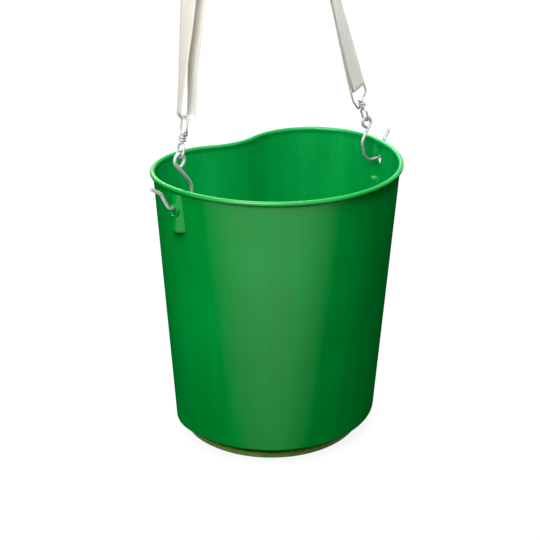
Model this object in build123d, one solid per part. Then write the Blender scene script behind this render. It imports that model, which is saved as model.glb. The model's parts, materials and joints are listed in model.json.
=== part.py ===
from build123d import *
import os
from math import asin, atan, atan2, cos, degrees, hypot, pi, radians, sin, sqrt, tan

# Tapered kidney-shaped bucket that hangs from two wire hooks, swivels and webbing straps.
# Millimetres. Origin on the floor under the bucket, +Z up, -Y the round front, +Y the hollow back.

# Plan of the wall's outer face at rim height: round front, two round shoulders, hollow back.
rim_half_width = 154.2
shoulder_radius = 89.1
front_centre_y = 2.0
back_radius = 83.3

# Wall and rolled rim.
sheet = 1.0
wall_height = 327.5
wall_taper = 19.9
floor_to_wall = 20.7
rim_radius = 3.0
rim_overhang = 3.6
rim_step = 5.0
rim_step_bend = 10.0
rim_curl_deg = 288.0
rim_wire_gap = 0.3
wall_corner = 3.0
wall_flange = 20.0

# Bottom pan and foot hoop. Insets are measured inward from the wall's lower edge.
pan_flange_inset = 3.0
pan_side_inset = 21.5
pan_floor_height = 3.0
pan_corner = 2.5
pan_shoulder = 1.2
pan_floor_margin = 6.0
seam_gap = 0.05
foot_depth = 5.4
foot_height = 9.0
foot_rounding = 4.0

# Pressed hook pocket and its lipped hole. Drops are measured down from the rim's centre.
hole_y = -20.5
hole_drop = 24.0
hole_radius = 6.0
lip_width = 1.7
lip_height = 0.9
lip_rounding = 0.6
pocket_radius = 12.0
pocket_top_drop = 4.2
pocket_bottom_drop = 52.0
pocket_top_rise = 3.0
pocket_bottom_rise = 8.3
pocket_rounding = 5.0
pocket_half_angle = 12.0
pocket_reach = 20.0

# Hook: round wire bent in one plane. Depths are measured inward and heights up from the hole.
hook_wire = 4.0
hook_play = 0.35
hook_outer_run = 2.0
tail_bend_left = 8.0
tail_bend_right = 6.0
tail_rise_left_deg = 60.0
tail_rise_right_deg = 88.0
tail_length_left = 15.0
tail_length_right = 10.0
tip_bend = 10.0
tip_turn_left_deg = 32.0
tip_turn_right_deg = 38.0
tip_length_left = 12.5
tip_length_right = 13.0
belly_depth_left = 27.7
belly_depth_right = 23.2
belly_bend = 13.0
shank_bend = 16.0
shank_lean_deg = 41.6
hook_eye_depth = 11.2
hook_eye_height_left = 52.5
hook_eye_height_right = 50.4
hook_eye_radius_left = 6.9
hook_eye_radius_right = 5.9
hook_eye_close_deg = 225.0
hook_eye_gap = 0.5
hook_tilt_left_deg = 3.5
hook_tilt_right_deg = 11.0
hook_sway_deg = 4.5

# Swivel eye, and the strap ring whose wire is wound round its shank.
link_play = 0.4
swivel_wire = 2.6
swivel_shank = 3.8
swivel_eye_radius = 4.8
swivel_eye_length = 6.2
swivel_head_radius = 3.6
swivel_head_height = 2.6
swivel_head_rounding = 1.0
swivel_head_play = 1.0
eye_to_coil = 0.5
ring_wire = 2.4
coil_play = 0.3
coil_pitch = 2.9
coil_turns = 2
coil_butt_gap = 0.9
ring_half_width = 14.7
ring_height = 27.0
ring_corner = 3.0
ring_foot_height = 13.4
ring_foot_corner = 4.0
ring_lead = 5.0
ring_lead_bend = 4.0
lean_left_deg = 15.5
lean_right_deg = 17.0
spin_left_deg = -61.0
spin_right_deg = 24.0
swivel_turn_left_deg = 0.0
swivel_turn_right_deg = 12.0

# Strap: webbing doubled through the ring, sewn together above and opened into a hanging eye.
# Heights are measured up from the ring's crossbar.
strap_width = 25.0
strap_thick = 1.6
strap_play = 0.3
strap_tilt_left_deg = -3.0
strap_tilt_right_deg = -1.8
bight_radius_left = 8.6
bight_radius_right = 2.3
upper_half_gap_left = 7.0
upper_half_gap_right = 1.0
upper_height = 155.0
loop_close = 17.0
seam_length = 18.0
strap_eye_radius = 12.0
strap_eye_rise = 20.0
lap_length = 16.0
stitch_box_width = 19.0
stitch_box_height = 12.0
stitch_width = 0.8
stitch_height = 0.5
stitch_gap = 0.02

# Values that follow from the sizes above.
rim_z = floor_to_wall + wall_height
shoulder_x = rim_half_width - shoulder_radius
front_radius = shoulder_radius + hypot(shoulder_x, front_centre_y)
back_centre_y = sqrt((back_radius + shoulder_radius) ** 2 - shoulder_x ** 2)
shoulder_start = degrees(atan2(-front_centre_y, shoulder_x))
shoulder_end = degrees(atan2(back_centre_y, -shoulder_x))
shoulder_sweep = shoulder_end - shoulder_start
front_sweep = 180.0 + 2.0 * shoulder_start
back_sweep = 2.0 * shoulder_end - 180.0
rim_centre_u = rim_overhang - rim_radius
pan_side_u = -wall_taper - pan_side_inset
seam_start = upper_height + loop_close

# The plan's arcs: centre, radius, first angle, sweep, and +1 where the wall bulges or -1 where hollow.
plan_arcs = [
    ((0.0, front_centre_y), front_radius, 180.0 - shoulder_start, front_sweep, 1),
    ((shoulder_x, 0.0), shoulder_radius, shoulder_start, shoulder_sweep, 1),
    ((0.0, back_centre_y), back_radius, -shoulder_end, back_sweep, -1),
    ((-shoulder_x, 0.0), shoulder_radius, 180.0 - shoulder_end, shoulder_sweep, 1),
]


def turned(section, arc):
    """Carries a section, drawn with x outward from the wall line and y up, along one arc of the plan."""
    (cx, cy), radius, first, sweep_deg, sense = arc
    c = cos(radians(first))
    s = sin(radians(first))
    plane = Plane(
        origin=(cx + radius * c, cy + radius * s, 0),
        x_dir=(sense * c, sense * s, 0),
        z_dir=(sense * s, -sense * c, 0),
    )
    return revolve(plane * section, Axis((cx, cy, 0), (0, 0, 1)), revolution_arc=sweep_deg)


def around(section):
    """Carries a section round the whole plan."""
    first, *others = [turned(section, arc) for arc in plan_arcs]
    return first.fuse(*others).clean()


def plan_face(u):
    """The flat area inside the plan, moved outward from the wall line by u."""
    edges = []
    for centre, radius, first, sweep_deg, sense in plan_arcs:
        edges.append(CenterArc(centre, radius + sense * u, first, sweep_deg))
    return make_face(edges)


def outline(points):
    """A flat section with straight sides."""
    return make_face(Polyline(*points, close=True))


def rounded(section, corner, radius):
    """Rounds the section's corner that lies nearest the given point."""
    vertex = section.vertices().sort_by_distance((corner[0], corner[1], 0))[0]
    return fillet(vertex, radius)


# Wall: rolled rim, tapered side and inward flange in one sheet.
def wall_section():
    end = radians(180.0 - rim_curl_deg)
    inner = rim_radius - sheet
    low = floor_to_wall
    lip = -wall_taper - wall_flange
    foot_out = (-wall_taper, low)
    foot_in = (-wall_taper - sheet, low + sheet)
    step_u = -wall_taper * rim_step / wall_height
    step_out = (step_u, rim_z - rim_step)
    step_in = (step_u - sheet, rim_z - rim_step)
    edges = [
        Line((rim_centre_u - rim_radius, rim_z), step_in),
        Line(step_in, foot_in),
        Line(foot_in, (lip, low + sheet)),
        Line((lip, low + sheet), (lip, low)),
        Line((lip, low), foot_out),
        Line(foot_out, step_out),
        Line(step_out, (rim_centre_u - inner, rim_z)),
        CenterArc((rim_centre_u, rim_z), inner, 180, -rim_curl_deg),
        Line(
            (rim_centre_u + inner * cos(end), rim_z + inner * sin(end)),
            (rim_centre_u + rim_radius * cos(end), rim_z + rim_radius * sin(end)),
        ),
        CenterArc((rim_centre_u, rim_z), rim_radius, 180, -rim_curl_deg),
    ]
    section = make_face(edges)
    section = rounded(section, step_out, rim_step_bend)
    section = rounded(section, step_in, rim_step_bend - sheet)
    section = rounded(section, foot_out, wall_corner)
    return rounded(section, foot_in, wall_corner - sheet)


def pan_section():
    top = floor_to_wall + sheet + seam_gap
    low = pan_floor_height
    edge = -wall_taper - pan_flange_inset
    inside = pan_side_u - sheet
    floor_edge = pan_side_u - pan_floor_margin
    section = outline([
        (edge, top + sheet),
        (inside, top + sheet),
        (inside, low + sheet),
        (floor_edge, low + sheet),
        (floor_edge, low),
        (pan_side_u, low),
        (pan_side_u, top),
        (edge, top),
    ])
    section = rounded(section, (inside, top + sheet), pan_shoulder + sheet)
    section = rounded(section, (pan_side_u, top), pan_shoulder)
    section = rounded(section, (pan_side_u, low), pan_corner)
    return rounded(section, (inside, low + sheet), pan_corner - sheet)


def foot_section():
    near = pan_side_u + seam_gap
    far = pan_side_u + foot_depth
    section = outline([(near, 0), (far, 0), (far, foot_height), (near, foot_height)])
    section = rounded(section, (far, 0), foot_rounding)
    return rounded(section, (far, foot_height), foot_rounding)


# Hook pockets: a leaning round-backed tongue pressed out of the wall, with a lipped hole.
def wall_radius(drop):
    return front_radius - wall_taper * drop / wall_height


crest_top = wall_radius(pocket_top_drop) + pocket_top_rise
crest_bottom = wall_radius(pocket_bottom_drop) + pocket_bottom_rise
pocket_length = hypot(pocket_bottom_drop - pocket_top_drop, crest_bottom - crest_top)
pocket_tilt = atan((crest_bottom - crest_top) / (pocket_bottom_drop - pocket_top_drop))


def crest_radius(drop):
    return crest_bottom - (pocket_bottom_drop - drop) * tan(pocket_tilt)


wire_drop = hole_drop - hole_radius + hook_wire / 2 + hook_play
bearing = asin((hole_y - front_centre_y) / crest_radius(hole_drop))
outward = Vector(cos(bearing), sin(bearing), 0)
sideways = Vector(-sin(bearing), cos(bearing), 0)
upward = Vector(0, 0, 1)
crest_out = outward * cos(pocket_tilt) + upward * sin(pocket_tilt)
crest_up = upward * cos(pocket_tilt) - outward * sin(pocket_tilt)


def crest_point(drop):
    return Vector(0, front_centre_y, rim_z - drop) + outward * crest_radius(drop)


def pocket_body(inset):
    """The tongue as a round body, or with an inset the hollow behind the sheet."""
    radius = pocket_radius - inset
    top = pocket_length - inset
    section = outline([(0, inset), (radius, inset), (radius, top), (0, top)])
    section = rounded(section, (radius, inset), pocket_rounding - inset)
    body = revolve(Plane.XZ * section, Axis.Z)
    base = crest_point(pocket_bottom_drop) - crest_out * pocket_radius
    return Plane(origin=base, x_dir=crest_out, z_dir=crest_up) * body


def along(point, direction, radius, start, end):
    """A round bar on the line through the point, between two distances along it."""
    plane = Plane(origin=point + direction * start, z_dir=direction)
    return plane * Cylinder(radius, end - start, align=(Align.CENTER, Align.CENTER, Align.MIN))


def outside_wall():
    """A band of space outside the middle of the wall's sheet, round the pocket."""
    low = pocket_bottom_drop + pocket_reach
    section = outline([
        (-sheet / 2, rim_z),
        (pocket_reach, rim_z),
        (pocket_reach, rim_z - low),
        (-sheet / 2 - wall_taper * low / wall_height, rim_z - low),
    ])
    first = degrees(bearing) - pocket_half_angle
    arc = ((0.0, front_centre_y), front_radius, first, 2 * pocket_half_angle, 1)
    return turned(section, arc)


def both_sides(solid):
    return [solid, mirror(solid, about=Plane.YZ)]


hole_point = crest_point(hole_drop)
lip = along(hole_point, crest_out, hole_radius + lip_width, -pocket_bottom_rise, lip_height)
lip = fillet(lip.edges().sort_by(Axis(hole_point, crest_out))[-1], lip_rounding)
tongue = (pocket_body(0) + lip) & outside_wall()
hollow = pocket_body(sheet)
hole = along(hole_point, crest_out, hole_radius, -pocket_radius, pocket_reach)

bucket_wall = around(wall_section())
for piece in both_sides(tongue):
    bucket_wall = bucket_wall + piece
for piece in both_sides(hollow) + both_sides(hole):
    bucket_wall = bucket_wall - piece

rim_wire = around(Pos(rim_centre_u, rim_z) * Circle(rim_radius - sheet - rim_wire_gap))

pan_floor = extrude(plan_face(pan_side_u - pan_floor_margin), amount=sheet)
bottom_pan = around(pan_section()) + Pos(0, 0, pan_floor_height) * pan_floor
foot_ring = around(foot_section())


# Hook, drawn in its own plane: x outward through the hole, y up.
def walk(start, heading, steps):
    """Straight runs (length, 0) and tangent bends (radius, turn); left turns count positive."""
    edges = []
    x, y = start
    for size, turn in steps:
        c = cos(radians(heading))
        s = sin(radians(heading))
        if turn == 0:
            end = (x + size * c, y + size * s)
            edges.append(Line((x, y), end))
        else:
            side = 1 if turn > 0 else -1
            centre = (x - side * size * s, y + side * size * c)
            first = heading - side * 90
            edges.append(CenterArc(centre, size, first, turn))
            last = radians(first + turn)
            end = (centre[0] + size * cos(last), centre[1] + size * sin(last))
            heading += turn
        x, y = end
    return edges, (x, y)


class HookShape:
    """What differs between the two hand-bent hooks."""

    def __init__(self, tilt_deg, belly_depth, eye_height, eye_radius):
        self.tilt_deg = tilt_deg
        self.belly_depth = belly_depth
        self.eye_height = eye_height
        self.eye_radius = eye_radius


left_shape = HookShape(hook_tilt_left_deg, belly_depth_left, hook_eye_height_left, hook_eye_radius_left)
right_shape = HookShape(
    hook_tilt_right_deg, belly_depth_right, hook_eye_height_right, hook_eye_radius_right
)


def hook_path(shape, tail_bend, tail_rise_deg, tail_length, tip_turn_deg, tip_length):
    lean = radians(shank_lean_deg)
    bend_across = shank_bend * (1 - cos(lean))
    bend_up = shank_bend * sin(lean)
    shank = (shape.belly_depth - hook_eye_depth + shape.eye_radius * cos(lean) - bend_across) / sin(lean)
    shank_top = shape.eye_height - shape.eye_radius * sin(lean)
    belly = shank_top - shank * cos(lean) - bend_up - belly_bend
    eye_turn = hook_eye_close_deg + shank_lean_deg
    to_shank = shape.eye_radius * (1 - cos(radians(eye_turn))) - hook_wire / 2 - hook_eye_gap
    tail = [
        (tip_length, 0),
        (tip_bend, tip_turn_deg),
        (tail_length, 0),
        (tail_bend, -tail_rise_deg),
    ]
    body = [
        (hook_outer_run + shape.belly_depth - belly_bend, 0),
        (belly_bend, -90),
        (belly, 0),
        (shank_bend, -shank_lean_deg),
        (shank, 0),
        (shape.eye_radius, eye_turn),
        (to_shank / -sin(radians(eye_turn)), 0),
    ]
    heading = 180 + tail_rise_deg - tip_turn_deg
    tail_end = walk((0, 0), heading, tail)[1]
    start = (hook_outer_run - tail_end[0], -tail_end[1])
    return Wire(walk(start, heading, tail + body)[0])


def tube(path, diameter):
    """Round wire along a path."""
    section = Plane(origin=path @ 0, z_dir=path % 0) * Circle(diameter / 2)
    return sweep(section, path=path)


hook_origin = crest_point(wire_drop)


def hook_axes(tilt_deg):
    """Outward and upward directions of a hook on the +X side that tilts inward and sways back."""
    tilt = radians(tilt_deg)
    sway = radians(hook_sway_deg)
    x = outward * cos(tilt) + upward * sin(tilt)
    level = upward * cos(tilt) - outward * sin(tilt)
    return x, level * cos(sway) + sideways * sin(sway)


def hook(shape, path):
    x, y = hook_axes(shape.tilt_deg)
    plane = Plane(origin=hook_origin, x_dir=x, z_dir=x.cross(y))
    return plane * tube(path, hook_wire)


left_path = hook_path(
    left_shape,
    tail_bend_left,
    tail_rise_left_deg,
    tail_length_left,
    tip_turn_left_deg,
    tip_length_left,
)
right_path = hook_path(
    right_shape,
    tail_bend_right,
    tail_rise_right_deg,
    tail_length_right,
    tip_turn_right_deg,
    tip_length_right,
)
hook_left = mirror(hook(left_shape, left_path), about=Plane.YZ)
hook_right = hook(right_shape, right_path)


# Swivel eye, drawn with the shank along z and the wound collar's lowest turn at z = 0.
coil_radius = swivel_shank / 2 + coil_play + ring_wire / 2
coil_height = coil_turns * coil_pitch
eye_top = -ring_wire / 2 - eye_to_coil - swivel_wire / 2
eye_centre = eye_top - swivel_eye_radius - swivel_eye_length / 2
pivot_height = 2 * eye_centre - eye_top
head_base = coil_height + ring_wire / 2 + swivel_head_play


def swivel_eye():
    slot = Rot(0, 0, 90) * SlotCenterToCenter(swivel_eye_length, 2 * swivel_eye_radius)
    loop = Pos(0, 0, eye_centre) * tube((Plane.YZ * slot).wire(), swivel_wire)
    shank = along(Vector(0, 0, eye_top), upward, swivel_shank / 2, 0, head_base - eye_top)
    head = along(Vector(0, 0, head_base), upward, swivel_head_radius, 0, swivel_head_height)
    head = fillet(head.edges().sort_by(Axis.Z)[-1], swivel_head_rounding)
    return loop + shank + head


# Strap ring: one wire from the middle of the collar, up and round the loop, and back into the collar.
def coil_point(turn):
    angle = pi / 2 + turn
    height = coil_height - coil_pitch * turn / (2 * pi)
    return Vector(coil_radius * cos(angle), coil_radius * sin(angle), height)


def coil_heading(turn):
    angle = pi / 2 + turn
    return Vector(coil_radius * sin(angle), -coil_radius * cos(angle), coil_pitch / (2 * pi)).normalized()


def coil_arcs(first, last, quarters):
    """Climbs the collar from one turn angle to another in pairs of tangent arcs."""
    edges = []
    for k in range(quarters):
        a = first + (last - first) * k / quarters
        b = first + (last - first) * (k + 1) / quarters
        p = coil_point(a)
        q = coil_point(b)
        u = coil_heading(a)
        v = coil_heading(b)
        chord = q - p
        bend = 2 * (1 - u.dot(v))
        reach = chord.dot(u + v)
        leg = (sqrt(reach ** 2 + bend * chord.dot(chord)) - reach) / bend
        middle = (p + u * leg + q - v * leg) * 0.5
        edges.append(TangentArc(p, middle, tangent=u))
        edges.append(TangentArc(middle, q, tangent=q - v * leg - (p + u * leg)))
    return edges


def ring_path():
    half_gap = coil_butt_gap / 2 / coil_radius
    ends = 2 * pi * coil_turns
    middle = ends / 2
    quarters = 2 * coil_turns
    lead = coil_heading(0) * (ring_lead / coil_heading(0).X)
    top = coil_point(0)
    low = coil_point(ends)
    corners = [ring_lead_bend, ring_foot_corner, ring_corner]
    loop = FilletPolyline(
        top,
        top + lead,
        (ring_half_width, 0, ring_foot_height),
        (ring_half_width, 0, ring_height),
        (-ring_half_width, 0, ring_height),
        (-ring_half_width, 0, ring_foot_height),
        low - lead,
        low,
        radius=corners + corners[::-1],
    )
    upper = coil_arcs(middle - half_gap, 0, quarters)
    lower = coil_arcs(ends, middle + half_gap, quarters)
    return Wire(upper + loop.edges() + lower)


def least_gap(path, diameter):
    """Least clear distance between stretches of the wire that aren't neighbours along it."""
    count = 700
    step = path.length / count
    points = [path.position_at(k / count) for k in range(count + 1)]
    apart = int(coil_radius * pi / step)
    ends = int(2 * ring_wire / step)
    least = path.length
    for i in range(count + 1):
        for j in range(i + apart, count + 1):
            if i < ends and j > count - ends:
                continue
            least = min(least, (points[i] - points[j]).length - diameter)
    return least


# Strap: a section of the doubled webbing, drawn with x through its thickness and y up from the crossbar.
def strap_solid(bight_radius, upper_half_gap):
    thick = strap_thick
    bight_y = bight_radius - ring_wire / 2 - strap_play
    seam_end = seam_start + seam_length
    eye_y = seam_end + strap_eye_rise
    flare = asin(strap_eye_radius / strap_eye_rise)
    outer_eye = strap_eye_radius + thick
    knee = seam_end - thick / sin(flare) + thick / tan(flare)
    side = [
        (bight_radius + thick, bight_y),
        (upper_half_gap + thick, upper_height),
        (thick, seam_start),
        (thick, knee),
        (outer_eye * cos(flare), eye_y - outer_eye * sin(flare)),
    ]
    other = [(-x, y) for x, y in reversed(side)]
    body = make_face([
        Polyline(*side),
        ThreePointArc(side[-1], (0, eye_y + outer_eye), other[0]),
        Polyline(*other),
        ThreePointArc(other[-1], (0, bight_y - bight_radius - thick), side[0]),
    ])
    lower = make_face([
        Polyline(
            (bight_radius, bight_y),
            (upper_half_gap, upper_height),
            (0, seam_start),
            (-upper_half_gap, upper_height),
            (-bight_radius, bight_y),
        ),
        ThreePointArc((-bight_radius, bight_y), (0, bight_y - bight_radius), (bight_radius, bight_y)),
    ])
    eye_x = strap_eye_radius * cos(flare)
    eye_foot = eye_y - strap_eye_radius * sin(flare)
    upper = make_face([
        Polyline((-eye_x, eye_foot), (0, seam_end), (eye_x, eye_foot)),
        ThreePointArc((eye_x, eye_foot), (0, eye_y + strap_eye_radius), (-eye_x, eye_foot)),
    ])
    lap = Pos(1.5 * thick, seam_start + seam_length / 2) * Rectangle(thick, lap_length)
    return extrude(body - lower - upper + lap, amount=strap_width / 2, both=True)


def stitch_solids():
    """A boxed cross of raised thread on each face of the seam."""
    slant = degrees(atan2(stitch_box_height, stitch_box_width))
    brace = Rectangle(hypot(stitch_box_width, stitch_box_height) - stitch_width, stitch_width)
    inner = Rectangle(stitch_box_width - 2 * stitch_width, stitch_box_height - 2 * stitch_width)
    pattern = Rectangle(stitch_box_width, stitch_box_height) - inner + Rot(0, 0, slant) * brace
    pattern = pattern + Rot(0, 0, -slant) * brace
    middle = seam_start + seam_length / 2
    solids = []
    for face, sense in ((2 * strap_thick, 1), (-strap_thick, -1)):
        plane = Plane(origin=(face + sense * stitch_gap, middle, 0), x_dir=(0, 0, 1), z_dir=(sense, 0, 0))
        solids.append(extrude(plane * pattern, amount=stitch_height))
    return Compound(children=solids)


def flip(vector, side):
    return Vector(side * vector.X, vector.Y, vector.Z)


def hang(side, shape, lean_deg, spin_deg, swivel_turn_deg, strap_tilt_deg):
    """Planes of one side's swivel eye, strap ring and strap; side is +1 for +X and -1 for -X."""
    hook_x, hook_y = hook_axes(shape.tilt_deg)
    lean = radians(lean_deg - shape.tilt_deg)
    spin = radians(spin_deg)
    strap_tilt = radians(strap_tilt_deg)
    axis = flip(hook_y * cos(lean) - hook_x * sin(lean), side)
    away = flip(hook_x * cos(lean) + hook_y * sin(lean), side)
    back = flip(hook_y.cross(hook_x), side)
    eye = flip(hook_origin - hook_x * hook_eye_depth + hook_y * shape.eye_height, side)
    pivot = eye + axis * (shape.eye_radius - hook_wire / 2 - link_play - swivel_wire / 2)
    collar = pivot - axis * pivot_height
    bar = away * cos(spin) + back * sin(spin)
    across = axis.cross(bar)
    crossbar = collar + axis * ring_height
    strap_up = axis * cos(strap_tilt) + across * sin(strap_tilt)
    turn = radians(swivel_turn_deg)
    swivel_plane = Plane(origin=collar, x_dir=away * cos(turn) + back * sin(turn), z_dir=axis)
    ring_plane = Plane(origin=collar, x_dir=bar, z_dir=axis)
    strap_plane = Plane(origin=crossbar, x_dir=strap_up.cross(bar), z_dir=bar)
    print("side", side, "hook", flip(hook_origin, side), flip(hook_x, side), "pivot", pivot, back)
    print("side", side, "collar", collar, axis, "crossbar", crossbar, bar, "strap", strap_up)
    return swivel_plane, ring_plane, strap_plane


ring_line = ring_path()
print("least gap of the ring's wire to itself", round(least_gap(ring_line, ring_wire), 2))
ring = tube(ring_line, ring_wire)
swivel = swivel_eye()
stitching = stitch_solids()
strap_left = strap_solid(bight_radius_left, upper_half_gap_left)
strap_right = strap_solid(bight_radius_right, upper_half_gap_right)

left_swivel, left_ring, left_strap = hang(
    -1, left_shape, lean_left_deg, spin_left_deg, swivel_turn_left_deg, strap_tilt_left_deg
)
right_swivel, right_ring, right_strap = hang(
    1, right_shape, lean_right_deg, spin_right_deg, swivel_turn_right_deg, strap_tilt_right_deg
)

nodes = {
    "bucket_wall": bucket_wall,
    "rim_wire": rim_wire,
    "bottom_pan": bottom_pan,
    "foot_ring": foot_ring,
    "hook_left": hook_left,
    "hook_right": hook_right,
    "swivel_eye_left": left_swivel * swivel,
    "swivel_eye_right": right_swivel * swivel,
    "strap_ring_left": left_ring * ring,
    "strap_ring_right": right_ring * ring,
    "strap_left": left_strap * strap_left,
    "strap_right": right_strap * strap_right,
    "strap_stitching_left": left_strap * stitching,
    "strap_stitching_right": right_strap * stitching,
}

os.makedirs("parts", exist_ok=True)
for name, solid in nodes.items():
    export_step(solid, f"parts/{name}.step")
    print(name, "volume", round(solid.volume, 1), "solids", len(solid.solids()))
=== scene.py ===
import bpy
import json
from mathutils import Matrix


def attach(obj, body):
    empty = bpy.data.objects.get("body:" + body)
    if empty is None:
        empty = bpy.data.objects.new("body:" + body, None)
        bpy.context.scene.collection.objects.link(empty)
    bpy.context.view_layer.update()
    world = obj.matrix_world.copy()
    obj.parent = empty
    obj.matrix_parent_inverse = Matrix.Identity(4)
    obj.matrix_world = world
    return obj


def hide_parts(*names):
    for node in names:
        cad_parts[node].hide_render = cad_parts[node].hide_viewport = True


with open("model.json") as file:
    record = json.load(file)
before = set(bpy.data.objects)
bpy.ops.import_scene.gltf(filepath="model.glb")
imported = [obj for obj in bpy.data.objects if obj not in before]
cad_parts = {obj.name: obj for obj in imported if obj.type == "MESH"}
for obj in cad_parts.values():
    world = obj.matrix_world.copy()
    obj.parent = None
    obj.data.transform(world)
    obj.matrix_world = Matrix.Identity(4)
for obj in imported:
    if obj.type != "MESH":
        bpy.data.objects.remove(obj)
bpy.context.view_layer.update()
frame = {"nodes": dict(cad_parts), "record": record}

import json
import math

import bpy
from mathutils import Matrix, Vector, noise

record = frame["record"]
nodes = frame["nodes"]
joints = {j["name"]: j for j in record["behaviour"]["joints"]}
mounts = {m["name"]: m for m in record["mounts"]}
scene = bpy.context.scene


def lin(r, g, b):
    """Linear colour from display values 0 to 255."""
    out = []
    for v in (r, g, b):
        c = v / 255.0
        out.append(c / 12.92 if c <= 0.04045 else ((c + 0.055) / 1.055) ** 2.4)
    return (*out, 1.0)


def add(name, data):
    obj = bpy.data.objects.new(name, data)
    scene.collection.objects.link(obj)
    return obj


# Node helpers.
def new_material(name):
    mat = bpy.data.materials.new(name)
    mat.use_nodes = True
    tree = mat.node_tree
    tree.nodes.clear()
    out = tree.nodes.new("ShaderNodeOutputMaterial")
    bsdf = tree.nodes.new("ShaderNodeBsdfPrincipled")
    tree.links.new(bsdf.outputs["BSDF"], out.inputs["Surface"])
    return mat, tree, bsdf


def node(tree, kind, inputs=None, **settings):
    """A shader node; an input is either another node's output or a plain value."""
    n = tree.nodes.new("ShaderNode" + kind)
    for key, value in settings.items():
        setattr(n, key, value)
    for key, value in (inputs or {}).items():
        if hasattr(value, "is_output"):
            tree.links.new(value, n.inputs[key])
        else:
            n.inputs[key].default_value = value
    return n


def place(tree, scale=(1, 1, 1)):
    coord = node(tree, "TexCoord")
    return node(tree, "Mapping", {"Vector": coord.outputs["Object"], "Scale": scale}).outputs["Vector"]


def fbm(tree, vector, scale, detail=3.0, rough=0.55):
    n = node(tree, "TexNoise", {"Vector": vector, "Scale": scale, "Detail": detail, "Roughness": rough})
    return n.outputs["Fac"]


def ramp(tree, fac, low, high, a=0.0, b=1.0):
    """Maps fac from low..high to a..b, clamped."""
    n = node(tree, "MapRange", {"Value": fac, "From Min": low, "From Max": high, "To Min": a, "To Max": b})
    return n.outputs["Result"]


def blend_colour(tree, fac, a, b):
    """Colour a where fac is 0, b where it is 1; the sockets go by number, as the names repeat by type."""
    return node(tree, "Mix", {0: fac, 6: a, 7: b}, data_type="RGBA").outputs[2]


def math_node(tree, op, a, b=0.0):
    return node(tree, "Math", {0: a, 1: b}, operation=op).outputs[0]


def times(tree, a, b):
    return math_node(tree, "MULTIPLY", a, b)


def bump(tree, bsdf, height, strength, distance):
    n = node(tree, "Bump", {"Height": height, "Strength": strength, "Distance": distance})
    tree.links.new(n.outputs["Normal"], bsdf.inputs["Normal"])


def link(tree, out, shader, socket):
    tree.links.new(out, shader.inputs[socket])


def surface_normal(tree):
    return node(tree, "NewGeometry").outputs["Normal"]


def inward(tree):
    """1 on faces turned to the bucket's upright middle line, 0 on faces turned away from it."""
    radial = place(tree, (1, 1, 0))
    facing = node(tree, "VectorMath", {0: surface_normal(tree), 1: radial}, operation="DOT_PRODUCT")
    return ramp(tree, facing.outputs["Value"], -0.02, 0.02, 1.0, 0.0)


def enamel(name, deep, light, rough, specular, painted_light_inside=None):
    """Glossy enamel on pressed steel: slight colour drift, vertical runs, orange peel, shallow dents, and
    painted light: a lighter, bluer copy of the colour on faces turned inwards.
    """
    mat, tree, bsdf = new_material(name)
    space = place(tree)
    runs = place(tree, (1, 1, 0.06))
    drift = ramp(tree, fbm(tree, space, 7.0), 0.35, 0.68)
    streak = ramp(tree, fbm(tree, runs, 46.0, 2.0), 0.42, 0.7)
    both = math_node(tree, "ADD", times(tree, drift, 0.55), times(tree, streak, 0.35))
    colour = blend_colour(tree, both, deep, light)
    # Painted light: faces turned inwards take a lighter, bluer copy of the enamel, standing in for sky
    # light that falls into the bucket.
    if painted_light_inside:
        colour = blend_colour(tree, inward(tree), colour, blend_colour(tree, both, *painted_light_inside))
    speck = ramp(tree, fbm(tree, space, 900.0, 1.0), 0.72, 0.78)
    colour = blend_colour(tree, times(tree, speck, 0.25), colour, lin(20, 70, 34))
    link(tree, colour, bsdf, "Base Color")
    gloss = math_node(tree, "ADD", rough, times(tree, streak, 0.1))
    link(tree, gloss, bsdf, "Roughness")
    # Full gloss where the surface faces the view, half of it on faces that look up.
    facing = node(tree, "LayerWeight", {"Blend": 0.5}).outputs["Facing"]
    level = node(tree, "SeparateXYZ", {"Vector": surface_normal(tree)}).outputs["Z"]
    towards = ramp(tree, facing, 0.12, 0.25, specular, 0.0)
    upward = ramp(tree, level, 0.25, 0.8, 0.0, specular * 0.5)
    bsdf.inputs["Specular IOR Level"].default_value = specular
    link(tree, math_node(tree, "MAXIMUM", towards, upward), bsdf, "Specular IOR Level")
    peel = times(tree, fbm(tree, space, 420.0, 2.0), 0.12)
    dents = fbm(tree, space, 11.0, 2.0)
    bump(tree, bsdf, math_node(tree, "ADD", peel, dents), 0.22, 0.0016)
    return mat


def foot_wear_and_painted_light(name):
    """Enamel rubbed dull where the bucket stands, with long scrapes. Its olive tone is partly worn paint
    and partly painted reflection of a brown floor, and it is made pale as painted light to lift the shade
    under the wall's edge.
    """
    mat, tree, bsdf = new_material(name)
    space = place(tree)
    rub = ramp(tree, fbm(tree, space, 60.0, 4.0), 0.38, 0.66)
    # Painted light: both olive tones carry a painted reflection of a brown floor and are lightened to make
    # up for the shade under the wall's edge.
    colour = blend_colour(tree, rub, lin(112, 170, 62), lin(168, 190, 90))
    scrape = ramp(tree, fbm(tree, place(tree, (1, 1, 6)), 130.0, 3.0), 0.62, 0.72)
    colour = blend_colour(tree, times(tree, scrape, 0.6), colour, lin(176, 174, 126))
    link(tree, colour, bsdf, "Base Color")
    link(tree, ramp(tree, rub, 0.0, 1.0, 0.32, 0.55), bsdf, "Roughness")
    bsdf.inputs["Specular IOR Level"].default_value = 0.2
    bump(tree, bsdf, fbm(tree, space, 240.0, 3.0), 0.25, 0.0006)
    return mat


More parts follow.
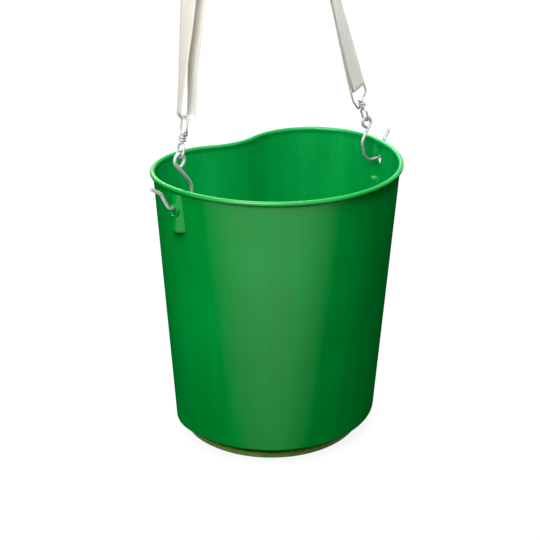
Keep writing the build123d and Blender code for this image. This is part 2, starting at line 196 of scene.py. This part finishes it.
def zinc(name, tone, dull):
    """Plated wire: cloudy grey metal, duller where it is darker."""
    mat, tree, bsdf = new_material(name)
    space = place(tree)
    dark = tone - 30
    cloud = ramp(tree, fbm(tree, space, 190.0, 4.0), 0.35, 0.7)
    colour = blend_colour(tree, cloud, lin(tone, tone, tone + 2), lin(dark, dark, dark + 2))
    link(tree, colour, bsdf, "Base Color")
    bsdf.inputs["Metallic"].default_value = 1.0
    link(tree, ramp(tree, cloud, 0.0, 1.0, 0.5, dull), bsdf, "Roughness")
    bump(tree, bsdf, fbm(tree, space, 1500.0, 2.0), 0.2, 0.00025)
    return mat


def bare_steel(name):
    """Unpainted wire with brown stains."""
    mat, tree, bsdf = new_material(name)
    space = place(tree)
    stain = ramp(tree, fbm(tree, space, 120.0, 4.0), 0.45, 0.7)
    link(tree, blend_colour(tree, stain, lin(150, 150, 152), lin(118, 84, 58)), bsdf, "Base Color")
    bsdf.inputs["Metallic"].default_value = 0.9
    link(tree, ramp(tree, stain, 0.0, 1.0, 0.35, 0.7), bsdf, "Roughness")
    bump(tree, bsdf, fbm(tree, space, 700.0, 3.0), 0.3, 0.0003)
    return mat


# The weave's pitch in millimetres.
WEFT_PITCH = 1.5
WARP_PITCH = 1.1


def webbing(name):
    """Woven cotton: u runs along the strap and v across it, both in millimetres."""
    mat, tree, bsdf = new_material(name)
    uv = node(tree, "UVMap", uv_map="UVMap").outputs["UV"]
    split = node(tree, "SeparateXYZ", {"Vector": uv}).outputs
    weft = math_node(tree, "SINE", times(tree, split["X"], 2 * math.pi / WEFT_PITCH))
    warp = math_node(tree, "SINE", times(tree, split["Y"], 2 * math.pi / WARP_PITCH))
    ribs = math_node(tree, "ABSOLUTE", times(tree, weft, warp))
    fuzz = fbm(tree, uv, 1.6, 4.0)
    soil = ramp(tree, fbm(tree, place(tree), 26.0, 4.0), 0.4, 0.72)
    colour = blend_colour(tree, ribs, lin(229, 225, 216), lin(242, 239, 232))
    colour = blend_colour(tree, times(tree, soil, 0.5), colour, lin(236, 222, 204))
    link(tree, colour, bsdf, "Base Color")
    bsdf.inputs["Roughness"].default_value = 0.92
    bsdf.inputs["Specular IOR Level"].default_value = 0.15
    bsdf.inputs["Subsurface Weight"].default_value = 1.0
    bsdf.inputs["Subsurface Radius"].default_value = (1.0, 0.92, 0.84)
    bsdf.inputs["Subsurface Scale"].default_value = 0.005
    bump(tree, bsdf, math_node(tree, "ADD", ribs, times(tree, fuzz, 0.8)), 0.6, 0.0005)
    return mat


def thread(name):
    """Sewing thread with a fine ply."""
    mat, tree, bsdf = new_material(name)
    ply = fbm(tree, place(tree), 2600.0, 2.0)
    link(tree, blend_colour(tree, ply, lin(228, 218, 198), lin(206, 194, 170)), bsdf, "Base Color")
    bsdf.inputs["Roughness"].default_value = 0.85
    bump(tree, bsdf, ply, 0.5, 0.0002)
    return mat


green = enamel(
    "green_enamel", lin(0, 144, 49), lin(2, 163, 66), rough=0.24, specular=0.5,
    painted_light_inside=(lin(0, 153, 66), lin(3, 172, 84)),
)
inner = enamel("pan_enamel", lin(0, 126, 42), lin(2, 142, 55), rough=0.3, specular=0.3)
foot = foot_wear_and_painted_light("foot_enamel")
hook_zinc = zinc("hook_zinc", tone=202, dull=0.7)
swivel_zinc = zinc("swivel_zinc", tone=198, dull=0.68)
ring_zinc = zinc("ring_zinc", tone=196, dull=0.68)
core_steel = bare_steel("rim_wire_steel")
cotton = webbing("webbing")
cotton_thread = thread("thread")

node_materials = {
    "bucket_wall": green,
    "rim_wire": core_steel,
    "bottom_pan": inner,
    "foot_ring": foot,
    "hook_left": hook_zinc,
    "hook_right": hook_zinc,
    "swivel_eye_left": swivel_zinc,
    "swivel_eye_right": swivel_zinc,
    "strap_ring_left": ring_zinc,
    "strap_ring_right": ring_zinc,
}
for name, mat in node_materials.items():
    obj = nodes[name]
    obj.data.materials.clear()
    obj.data.materials.append(mat)


# Straps. Sizes in millimetres in the strap's own plane: x along the crossbar, y through the webbing, z up.
WIDTH = 25.0
THICK = 1.5
SEAM = (172.0, 190.0)
SEAM_MIDDLE = (SEAM[0] + SEAM[1]) / 2
PLY_Y = 0.8
LAP_Y = 2.4
EYE_Z, EYE_RADIUS = 210.0, 12.8
EYE_FROM, EYE_TO, EYE_STEPS = -36, 216, 26
BIGHT_DROP, BIGHT_STEPS = 2.3, 16
# The rear ply's fan: the half gap over which it comes in, and the height at which it ends.
FAN_HALF = 7.0
FAN_REACH = 130.0
# The mesh: spacing along the strap, points between two given ones, faces across the width.
LINE_STEP = 1.6
CURVE_STEPS = 12
COLUMNS = 12
# The edges thin out over this share of the half width, by this share of the thickness.
SELVAGE = 0.1
SELVAGE_THINNING = 0.7
# Slight waves in the webbing, smaller near its ends, and ruffled edges.
WAVE, WAVE_ALONG, WAVE_ACROSS = 0.35, 0.02, 1.3
WAVE_NEAR_ENDS = 0.4
CALM_BELOW_SEAM, CALM_ABOVE_BAR = 10.0, 14.0
RUFFLE, RUFFLE_ALONG = 0.15, 0.05
UV_SHIFT = 20.0


def arc(height, radius, first, last, count):
    """Points (y, z) on a circle round y = 0 at that height, from the first to the last angle in degrees."""
    pts = []
    for k in range(count + 1):
        a = math.radians(first + (last - first) * k / count)
        pts.append((radius * math.cos(a), height + radius * math.sin(a)))
    return pts


def strap_line(front, rear, bight_radius):
    """The webbing's middle line: lap, hanging eye, down one ply, round the crossbar, up the other ply."""
    lap = [(LAP_Y, SEAM[0] + 1.5), (LAP_Y, SEAM_MIDDLE), (LAP_Y, SEAM[1] - 1.0)]
    eye = arc(EYE_Z, EYE_RADIUS, EYE_FROM, EYE_TO, EYE_STEPS)
    down = [(-PLY_Y - 0.1, SEAM[1]), (-PLY_Y, SEAM_MIDDLE), (-PLY_Y, SEAM[0])]
    ply = [(-half, z) for half, z in front]
    bight = arc(bight_radius - BIGHT_DROP, bight_radius, 180, 360, BIGHT_STEPS)
    back = [(half, z) for half, z in reversed(rear)]
    top = [(PLY_Y, SEAM[0]), (PLY_Y, SEAM_MIDDLE), (PLY_Y, SEAM[1] - 1.5)]
    return lap + eye + down + ply + bight + back + top


def smooth(points, step):
    """Points at even spacing along a smooth curve through the given ones, and the curve's length."""
    dense = []
    n = len(points)
    for i in range(n - 1):
        p0, p1, p2, p3 = (Vector(points[max(min(j, n - 1), 0)]) for j in (i - 1, i, i + 1, i + 2))
        length = (p2 - p1).length
        m1 = (p2 - p0) * (length / max((p2 - p0).length, 1e-6))
        m2 = (p3 - p1) * (length / max((p3 - p1).length, 1e-6))
        for k in range(CURVE_STEPS):
            t = k / CURVE_STEPS
            start, leave = 2 * t ** 3 - 3 * t ** 2 + 1, t ** 3 - 2 * t ** 2 + t
            end, arrive = -2 * t ** 3 + 3 * t ** 2, t ** 3 - t ** 2
            dense.append(p1 * start + m1 * leave + p2 * end + m2 * arrive)
    dense.append(Vector(points[-1]))
    total = sum((b - a).length for a, b in zip(dense, dense[1:]))
    count = int(total / step)
    out, i, passed = [], 0, 0.0
    for k in range(count + 1):
        want = total * k / count
        while i < len(dense) - 2 and passed + (dense[i + 1] - dense[i]).length < want:
            passed += (dense[i + 1] - dense[i]).length
            i += 1
        seg = (dense[i + 1] - dense[i]).length
        out.append(dense[i].lerp(dense[i + 1], min(max((want - passed) / max(seg, 1e-9), 0.0), 1.0)))
    return out, total


def ease(t):
    t = min(max(t, 0.0), 1.0)
    return t * t * (3 - 2 * t)


class StrapSpace:
    """Turns strap millimetres into metres in the part's frame.

    The strap twists slowly between the two heights of rise, and its rear ply may fan out near the crossbar.
    """

    def __init__(self, side, bar_sign, twist, rise, fan):
        joint = joints[f"strap_{side}_tilt"]
        self.origin = Vector(joint["pos_m"])
        self.up = (Vector(mounts[f"strap_eye_{side}"]["pos_m"]) - self.origin).normalized()
        self.bar = (Vector(joint["axis"]) * bar_sign).normalized()
        self.across = self.up.cross(self.bar).normalized()
        self.twist = twist
        self.rise = rise
        self.fan = fan

    def at(self, x, y, z):
        low, high = self.rise
        turn = self.twist * ease((z - low) / (high - low))
        turn += self.fan * ease(0.5 + y / (2 * FAN_HALF)) * (1 - ease(z / FAN_REACH))
        a = math.radians(turn)
        c, s = math.cos(a), math.sin(a)
        p = self.bar * (x * c - y * s) + self.across * (x * s + y * c) + self.up * z
        return self.origin + p * 0.001


def tube_faces(first, rings, sides):
    """Faces of a tube with closed ends, whose points are numbered ring by ring from first."""
    faces = []
    for i in range(rings - 1):
        for k in range(sides):
            a = first + i * sides + k
            b = first + i * sides + (k + 1) % sides
            faces.append((a, b, b + sides, a + sides))
    last = first + (rings - 1) * sides
    faces.append(tuple(first + k for k in reversed(range(sides))))
    faces.append(tuple(last + k for k in range(sides)))
    return faces


def smooth_mesh(name, verts, faces):
    mesh = bpy.data.meshes.new(name)
    mesh.from_pydata(verts, [], faces)
    mesh.polygons.foreach_set("use_smooth", [True] * len(mesh.polygons))
    mesh.update()
    return mesh


def strap(side, space, front, rear, bight_radius, seed):
    """One closed band of webbing with thinned edges and a slight wave."""
    line, total = smooth(strap_line(front, rear, bight_radius), LINE_STEP)
    verts, uvs = [], []
    last = len(line) - 1
    for i, p in enumerate(line):
        q = line[min(i + 1, last)] - line[max(i - 1, 0)]
        normal = Vector((q.y, -q.x)).normalized()
        s = total * i / last
        near_end = p.y > SEAM[0] - CALM_BELOW_SEAM or p.y < CALM_ABOVE_BAR
        calm = WAVE_NEAR_ENDS if near_end else 1.0
        for face in (1, -1):
            for k in range(COLUMNS + 1):
                j = k if face > 0 else COLUMNS - k
                f = j / COLUMNS * 2 - 1
                thinned = max(0.0, (abs(f) - (1 - SELVAGE)) / SELVAGE) ** 2 * SELVAGE_THINNING
                wave = noise.noise(Vector((s * WAVE_ALONG, f * WAVE_ACROSS + seed, seed))) * WAVE
                ruffle = noise.noise(Vector((s * RUFFLE_ALONG, seed * 3.0, f))) * RUFFLE
                x = f * (WIDTH / 2 + ruffle)
                off = normal * (face * THICK / 2 * (1.0 - thinned) + wave * calm)
                verts.append(space.at(x, p.x + off.x, p.y + off.y))
                uvs.append((s, x + UV_SHIFT))
    mesh = smooth_mesh(f"webbing_{side}", verts, tube_faces(0, len(line), 2 * (COLUMNS + 1)))
    layer = mesh.uv_layers.new(name="UVMap")
    for loop in mesh.loops:
        layer.data[loop.index].uv = uvs[loop.vertex_index]
    obj = add(f"webbing_{side}", mesh)
    mesh.materials.append(cotton)
    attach(obj, f"strap_{side}")
    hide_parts(f"strap_{side}")


# Stitching in millimetres; the gap and the taper at each end are shares of a stitch's length.
BOX_HALF_WIDTH, BOX_HALF_HEIGHT = 9.5, 6.0
STITCH_PITCH = 2.6
STITCH_GAP = 0.12
STITCH_TAPER = 0.12
STITCH_STATIONS = 5
STITCH_SIDES = 6
STITCH_HALF_WIDTH, STITCH_HALF_HEIGHT = 0.42, 0.34
STITCH_LIFT = 0.12


def stitch_points(space, p, q, level, sense):
    """Points of one raised stitch from p to q in the plane of the seam, on the face at that level."""
    along = (q - p).normalized()
    side_way = Vector((-along.y, along.x))
    pts = []
    for station in range(STITCH_STATIONS):
        t = station / (STITCH_STATIONS - 1)
        c = p.lerp(q, t)
        swell = math.sin(math.pi * (STITCH_TAPER + (1 - 2 * STITCH_TAPER) * t))
        for n in range(STITCH_SIDES):
            ang = 2 * math.pi * n / STITCH_SIDES
            o = side_way * (STITCH_HALF_WIDTH * swell * math.cos(ang))
            lift = sense * (STITCH_LIFT * swell + STITCH_HALF_HEIGHT * swell * math.sin(ang))
            pts.append(space.at(c.x + o.x, level + lift, SEAM_MIDDLE + c.y + o.y))
    return pts


def stitches(side, space):
    """Boxed cross of short raised stitches on both faces of the seam."""
    w, h = BOX_HALF_WIDTH, BOX_HALF_HEIGHT
    corners = [Vector(c) for c in ((-w, -h), (w, -h), (w, h), (-w, h))]
    runs = [(corners[k], corners[(k + 1) % 4]) for k in range(4)]
    runs += [(corners[0], corners[2]), (corners[1], corners[3])]
    verts, faces = [], []
    for level, sense in ((LAP_Y + THICK / 2, 1), (-PLY_Y - THICK / 2, -1)):
        for a, b in runs:
            count = max(int((b - a).length / STITCH_PITCH), 1)
            for k in range(count):
                p = a.lerp(b, (k + STITCH_GAP) / count)
                q = a.lerp(b, (k + 1 - STITCH_GAP) / count)
                faces += tube_faces(len(verts), STITCH_STATIONS, STITCH_SIDES)
                verts += stitch_points(space, p, q, level, sense)
    mesh = smooth_mesh(f"stitches_{side}", verts, faces)
    obj = add(f"stitches_{side}", mesh)
    mesh.materials.append(cotton_thread)
    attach(obj, f"strap_{side}")
    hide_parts(f"strap_stitching_{side}")


# Each ply is given as half gap and height, from the top down.
left_space = StrapSpace("left", bar_sign=-1, twist=33.5, rise=(0.0, 168.0), fan=10.0)
right_space = StrapSpace("right", bar_sign=1, twist=16.0, rise=(12.0, 150.0), fan=0.0)
left_front = [(7.4, 150.0), (7.2, 98.0), (7.0, 45.0)]
left_rear = [(6.2, 150.0), (5.5, 98.0), (5.1, 50.0), (6.6, 22.0)]
right_plies = [(1.2, 138.0), (1.4, 84.0), (2.2, 28.0)]
strap("left", left_space, left_front, left_rear, bight_radius=7.1, seed=1.7)
strap("right", right_space, right_plies, right_plies, bight_radius=3.1, seed=5.2)
stitches("left", left_space)
stitches("right", right_space)


# Floor, lights and camera. Azimuths run from the front towards +X; angles are in degrees, sizes in metres.
FLOOR_HALF = 9
FLOOR_GLOW = 0.9
SKY_LIGHT, SKY_SEEN = 0.09, 1.0
LAMP_TINT = (1.0, 0.985, 0.94)
LAMP_AIM = Vector((0, 0, 0.24))
CAMERA_AZIMUTH, CAMERA_ELEVATION, CAMERA_ROLL = -37.196, 23.745, 0.354
CAMERA_AT = (-0.8095, -1.0615, 0.7905)


def seen_directly(tree):
    """1 for what the camera, a gloss or a clear body sees, 0 for light that falls on the object."""
    path = node(tree, "LightPath").outputs
    either = math_node(tree, "MAXIMUM", path["Is Camera Ray"], path["Is Glossy Ray"])
    return math_node(tree, "MAXIMUM", either, path["Is Transmission Ray"])


mesh = bpy.data.meshes.new("floor")
corners = [(-1, -1), (1, -1), (1, 1), (-1, 1)]
mesh.from_pydata([(x * FLOOR_HALF, y * FLOOR_HALF, 0) for x, y in corners], [], [(0, 1, 2, 3)])
floor = add("floor", mesh)
mat, tree, bsdf = new_material("floor_paper")
bsdf.inputs["Base Color"].default_value = (0.1, 0.1, 0.1, 1)
bsdf.inputs["Roughness"].default_value = 0.9
bsdf.inputs["Specular IOR Level"].default_value = 0.1
bsdf.inputs["Emission Color"].default_value = (1, 1, 1, 1)
link(tree, times(tree, seen_directly(tree), FLOOR_GLOW), bsdf, "Emission Strength")
mesh.materials.append(mat)

world = bpy.data.worlds.new("studio")
scene.world = world
world.use_nodes = True
tree = world.node_tree
sky = tree.nodes["Background"]
sky.inputs["Color"].default_value = (0.96, 0.98, 1.0, 1)
link(tree, ramp(tree, seen_directly(tree), 0.0, 1.0, SKY_LIGHT, SKY_SEEN), sky, "Strength")


def direction(azimuth, elevation):
    a, e = math.radians(azimuth), math.radians(elevation)
    return Vector((math.sin(a) * math.cos(e), -math.cos(a) * math.cos(e), math.sin(e)))


def sun(name, azimuth, elevation, strength, angle):
    """A far soft light."""
    light = bpy.data.lights.new(name, "SUN")
    light.energy = strength
    light.angle = math.radians(angle)
    obj = add(name, light)
    obj.rotation_euler = direction(azimuth, elevation).to_track_quat("Z", "Y").to_euler()


def panel(name, azimuth, distance, height, size, power, mirrored):
    """A square soft lamp near the object, aimed at its middle; a gloss shows it where mirrored."""
    light = bpy.data.lights.new(name, "AREA")
    light.energy = power
    light.color = LAMP_TINT
    light.size = size
    obj = add(name, light)
    obj.location = direction(azimuth, 0) * distance + Vector((0, 0, height))
    obj.rotation_euler = (obj.location - LAMP_AIM).to_track_quat("Z", "Y").to_euler()
    obj.visible_camera = False
    obj.visible_glossy = mirrored


panel("key", azimuth=-57, distance=1.0, height=1.12, size=0.75, power=14.3, mirrored=True)
panel("fill", azimuth=51, distance=0.32, height=0.92, size=0.3, power=2.0, mirrored=False)
sun("top", azimuth=-50, elevation=82, strength=2.2, angle=40)
sun("back", azimuth=160, elevation=36, strength=2.0, angle=40)

back = direction(CAMERA_AZIMUTH, CAMERA_ELEVATION)
level = direction(CAMERA_AZIMUTH + 90, 0)
steep = back.cross(level)
roll = math.radians(CAMERA_ROLL)
right = level * math.cos(roll) + steep * math.sin(roll)
up = steep * math.cos(roll) - level * math.sin(roll)
camera = bpy.data.cameras.new("camera")
camera.sensor_width = 36.0
camera.lens = 77.5
eye = add("camera", camera)
eye.matrix_world = Matrix.Translation(CAMERA_AT) @ Matrix((right, up, back)).transposed().to_4x4()
scene.camera = eye
scene.view_settings.view_transform = "Standard"
